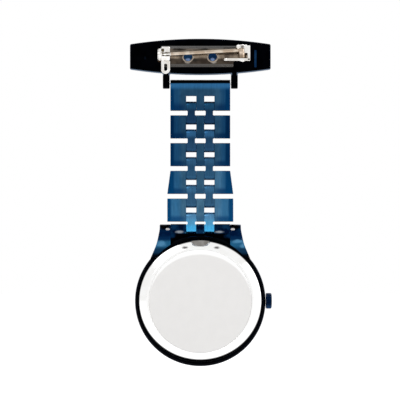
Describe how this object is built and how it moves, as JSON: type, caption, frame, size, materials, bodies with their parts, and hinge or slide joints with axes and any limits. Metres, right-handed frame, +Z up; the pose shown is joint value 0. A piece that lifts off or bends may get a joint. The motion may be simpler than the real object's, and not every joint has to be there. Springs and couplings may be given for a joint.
{
  "type": "fob watch",
  "caption": "Fob watch: a bowed brooch bar with a locking pin, a jointed steel link bracelet and a round quartz watch head hung upside down for the wearer.",
  "frame": {"origin": "middle of the rear face of the brooch's pin strip, where the clothing lies against it", "axes": "+Z up along the hanging watch, +Y to the rear towards the wearer, so the dial faces -Y; the crown and the pin's hinge are at -X"},
  "size_m": [0.0392, 0.0112, 0.0903],
  "materials": {
    "black_steel": "black coated steel, polished",
    "bright_steel": "bright plated steel",
    "blue_steel": "blue coated steel, finely brushed",
    "pale_blue_steel": "blue coated steel, polished",
    "dark_blue_steel": "blue-black coated steel, polished",
    "polished_back": "mirror polished steel",
    "satin_back": "fine matt satin steel, pale grey",
    "crystal_glass": "clear mineral glass",
    "seal_rubber": "black rubber",
    "dial_white": "white satin lacquer",
    "hand_black": "black lacquer",
    "hand_bright": "bright steel",
    "holder_plastic": "cream moulded plastic",
    "movement_brass": "plated brass",
    "magnet_steel": "grey soft iron and magnet",
    "coil_copper": "varnished copper wire",
    "board_green": "green circuit laminate"
  },
  "bodies": {
    "brooch": {"brooch_bar": "black_steel", "pin_base": "bright_steel", "pin_hinge_rivet": "bright_steel", "catch_hoop": "bright_steel", "upper_bar_tube": "bright_steel"},
    "pin_stem": {"pin_stem": "bright_steel"},
    "catch_lever": {"catch_lever": "bright_steel"},
    "upper_tip_a": {"upper_bar_tip_a": "bright_steel"},
    "upper_tip_b": {"upper_bar_tip_b": "bright_steel"},
    "row_1": {"link_row_1": "blue_steel"},
    "connectors_1": {"connector_1_a": "pale_blue_steel", "connector_1_b": "pale_blue_steel"},
    "row_2": {"link_row_2": "blue_steel"},
    "connectors_2": {"connector_2_a": "pale_blue_steel", "connector_2_b": "pale_blue_steel"},
    "row_3": {"link_row_3": "blue_steel"},
    "connectors_3": {"connector_3_a": "pale_blue_steel", "connector_3_b": "pale_blue_steel"},
    "row_4": {"link_row_4": "blue_steel"},
    "connectors_4": {"connector_4_a": "pale_blue_steel", "connector_4_b": "pale_blue_steel"},
    "row_5": {"link_row_5": "blue_steel"},
    "connectors_5": {"connector_5_a": "pale_blue_steel", "connector_5_b": "pale_blue_steel"},
    "head": {"case_middle": "dark_blue_steel", "end_link": "dark_blue_steel", "bezel": "dark_blue_steel", "crystal": "crystal_glass", "crystal_gasket": "seal_rubber", "case_back": "polished_back", "back_disc": "satin_back", "back_gasket": "seal_rubber", "dial": "dial_white", "movement_ring": "holder_plastic", "main_plate": "movement_brass", "train_bridge": "movement_brass", "circuit_board": "board_green", "battery": "bright_steel", "battery_clamp": "bright_steel", "stator": "magnet_steel", "coil": "coil_copper", "case_tube": "bright_steel", "lower_bar_tube": "bright_steel"},
    "lower_tip_a": {"lower_bar_tip_a": "bright_steel"},
    "lower_tip_b": {"lower_bar_tip_b": "bright_steel"},
    "setting_lever": {"setting_lever": "bright_steel"},
    "crown": {"crown": "dark_blue_steel", "winding_stem": "bright_steel", "crown_seal": "seal_rubber"},
    "seconds": {"fourth_wheel": "movement_brass", "second_hand": "hand_bright"},
    "minutes": {"centre_wheel": "movement_brass", "minute_hand": "hand_black"},
    "hours": {"hour_wheel": "movement_brass", "hour_hand": "hand_black"},
    "minute_wheel": {"minute_wheel": "movement_brass"},
    "third_wheel": {"third_wheel": "movement_brass"},
    "fifth_wheel": {"fifth_wheel": "movement_brass"},
    "rotor": {"rotor": "magnet_steel"}
  },
  "joints": [
    {"name": "pin_swing", "type": "hinge", "parent": "brooch", "child": "pin_stem", "pos_m": [-0.0115, 0.0025, 0], "axis": [0, 0, 1], "range_deg": [0, 80]},
    {"name": "catch_turn", "type": "hinge", "parent": "brooch", "child": "catch_lever", "pos_m": [0.0095, 0.0025, 0.0005], "axis": [1, 0, 0], "range_deg": [0, 180]},
    {"name": "upper_tip_a_slide", "type": "slide", "parent": "brooch", "child": "upper_tip_a", "axis": [1, 0, 0], "range_m": [0, 0.0011], "stiffness_N_per_m": 100},
    {"name": "upper_tip_b_slide", "type": "slide", "parent": "brooch", "child": "upper_tip_b", "axis": [-1, 0, 0], "range_m": [0, 0.0011], "stiffness_N_per_m": 100},
    {"name": "upper_bar_hinge", "type": "hinge", "parent": "brooch", "child": "row_1", "pos_m": [0, -0.0018, -0.0076], "axis": [-1, 0, 0], "range_deg": [-60, 90]},
    {"name": "row_1_lower_pin", "type": "hinge", "parent": "row_1", "child": "connectors_1", "pos_m": [0, -0.0018, -0.01347], "axis": [-1, 0, 0], "range_deg": [-18, 15]},
    {"name": "row_2_upper_pin", "type": "hinge", "parent": "connectors_1", "child": "row_2", "pos_m": [0, -0.0018, -0.0175], "axis": [-1, 0, 0], "range_deg": [-18, 15]},
    {"name": "row_2_lower_pin", "type": "hinge", "parent": "row_2", "child": "connectors_2", "pos_m": [0, -0.0018, -0.02112], "axis": [-1, 0, 0], "range_deg": [-18, 15]},
    {"name": "row_3_upper_pin", "type": "hinge", "parent": "connectors_2", "child": "row_3", "pos_m": [0, -0.0018, -0.02515], "axis": [-1, 0, 0], "range_deg": [-18, 15]},
    {"name": "row_3_lower_pin", "type": "hinge", "parent": "row_3", "child": "connectors_3", "pos_m": [0, -0.0018, -0.02877], "axis": [-1, 0, 0], "range_deg": [-18, 15]},
    {"name": "row_4_upper_pin", "type": "hinge", "parent": "connectors_3", "child": "row_4", "pos_m": [0, -0.0018, -0.0328], "axis": [-1, 0, 0], "range_deg": [-18, 15]},
    {"name": "row_4_lower_pin", "type": "hinge", "parent": "row_4", "child": "connectors_4", "pos_m": [0, -0.0018, -0.03642], "axis": [-1, 0, 0], "range_deg": [-18, 15]},
    {"name": "row_5_upper_pin", "type": "hinge", "parent": "connectors_4", "child": "row_5", "pos_m": [0, -0.0018, -0.04045], "axis": [-1, 0, 0], "range_deg": [-18, 15]},
    {"name": "row_5_lower_pin", "type": "hinge", "parent": "row_5", "child": "connectors_5", "pos_m": [0, -0.0018, -0.04407], "axis": [-1, 0, 0], "range_deg": [-18, 15]},
    {"name": "lower_bar_hinge", "type": "hinge", "parent": "connectors_5", "child": "head", "pos_m": [0, -0.0018, -0.0476], "axis": [-1, 0, 0], "range_deg": [-30, 45]},
    {"name": "lower_tip_a_slide", "type": "slide", "parent": "head", "child": "lower_tip_a", "axis": [1, 0, 0], "range_m": [0, 0.0011], "stiffness_N_per_m": 100},
    {"name": "lower_tip_b_slide", "type": "slide", "parent": "head", "child": "lower_tip_b", "axis": [-1, 0, 0], "range_m": [0, 0.0011], "stiffness_N_per_m": 100},
    {"name": "crown_pull", "type": "slide", "parent": "head", "child": "setting_lever", "axis": [-1, 0, 0], "range_m": [0, 0.001]},
    {"name": "crown_turn", "type": "hinge", "parent": "setting_lever", "child": "crown", "pos_m": [-0.019, -0.002, -0.0673], "axis": [-1, 0, 0], "continuous": true},
    {"name": "seconds_turn", "type": "hinge", "parent": "head", "child": "seconds", "pos_m": [0, -0.0018, -0.0673], "axis": [0, 1, 0], "continuous": true},
    {"name": "minute_turn", "type": "hinge", "parent": "head", "child": "minutes", "pos_m": [0, -0.0018, -0.0673], "axis": [0, 1, 0], "continuous": true},
    {"name": "hour_turn", "type": "hinge", "parent": "head", "child": "hours", "pos_m": [0, -0.0018, -0.0673], "axis": [0, 1, 0], "continuous": true},
    {"name": "minute_wheel_turn", "type": "hinge", "parent": "head", "child": "minute_wheel", "pos_m": [0.003, -0.0018, -0.0673], "axis": [0, 1, 0], "continuous": true},
    {"name": "third_wheel_turn", "type": "hinge", "parent": "head", "child": "third_wheel", "pos_m": [0, -0.0018, -0.06424], "axis": [0, 1, 0], "continuous": true},
    {"name": "fifth_wheel_turn", "type": "hinge", "parent": "head", "child": "fifth_wheel", "pos_m": [0, -0.0018, -0.07036], "axis": [0, 1, 0], "continuous": true},
    {"name": "rotor_turn", "type": "hinge", "parent": "head", "child": "rotor", "pos_m": [0, -0.0018, -0.07288], "axis": [0, 1, 0], "continuous": true}
  ],
  "couplings": [
    {"joint": "minute_turn", "follows": "seconds_turn", "ratio": 0.016667},
    {"joint": "hour_turn", "follows": "seconds_turn", "ratio": 0.0013889},
    {"joint": "minute_wheel_turn", "follows": "seconds_turn", "ratio": -0.0055556},
    {"joint": "third_wheel_turn", "follows": "seconds_turn", "ratio": -0.13333},
    {"joint": "fifth_wheel_turn", "follows": "seconds_turn", "ratio": -5},
    {"joint": "rotor_turn", "follows": "seconds_turn", "ratio": 30}
  ]
}
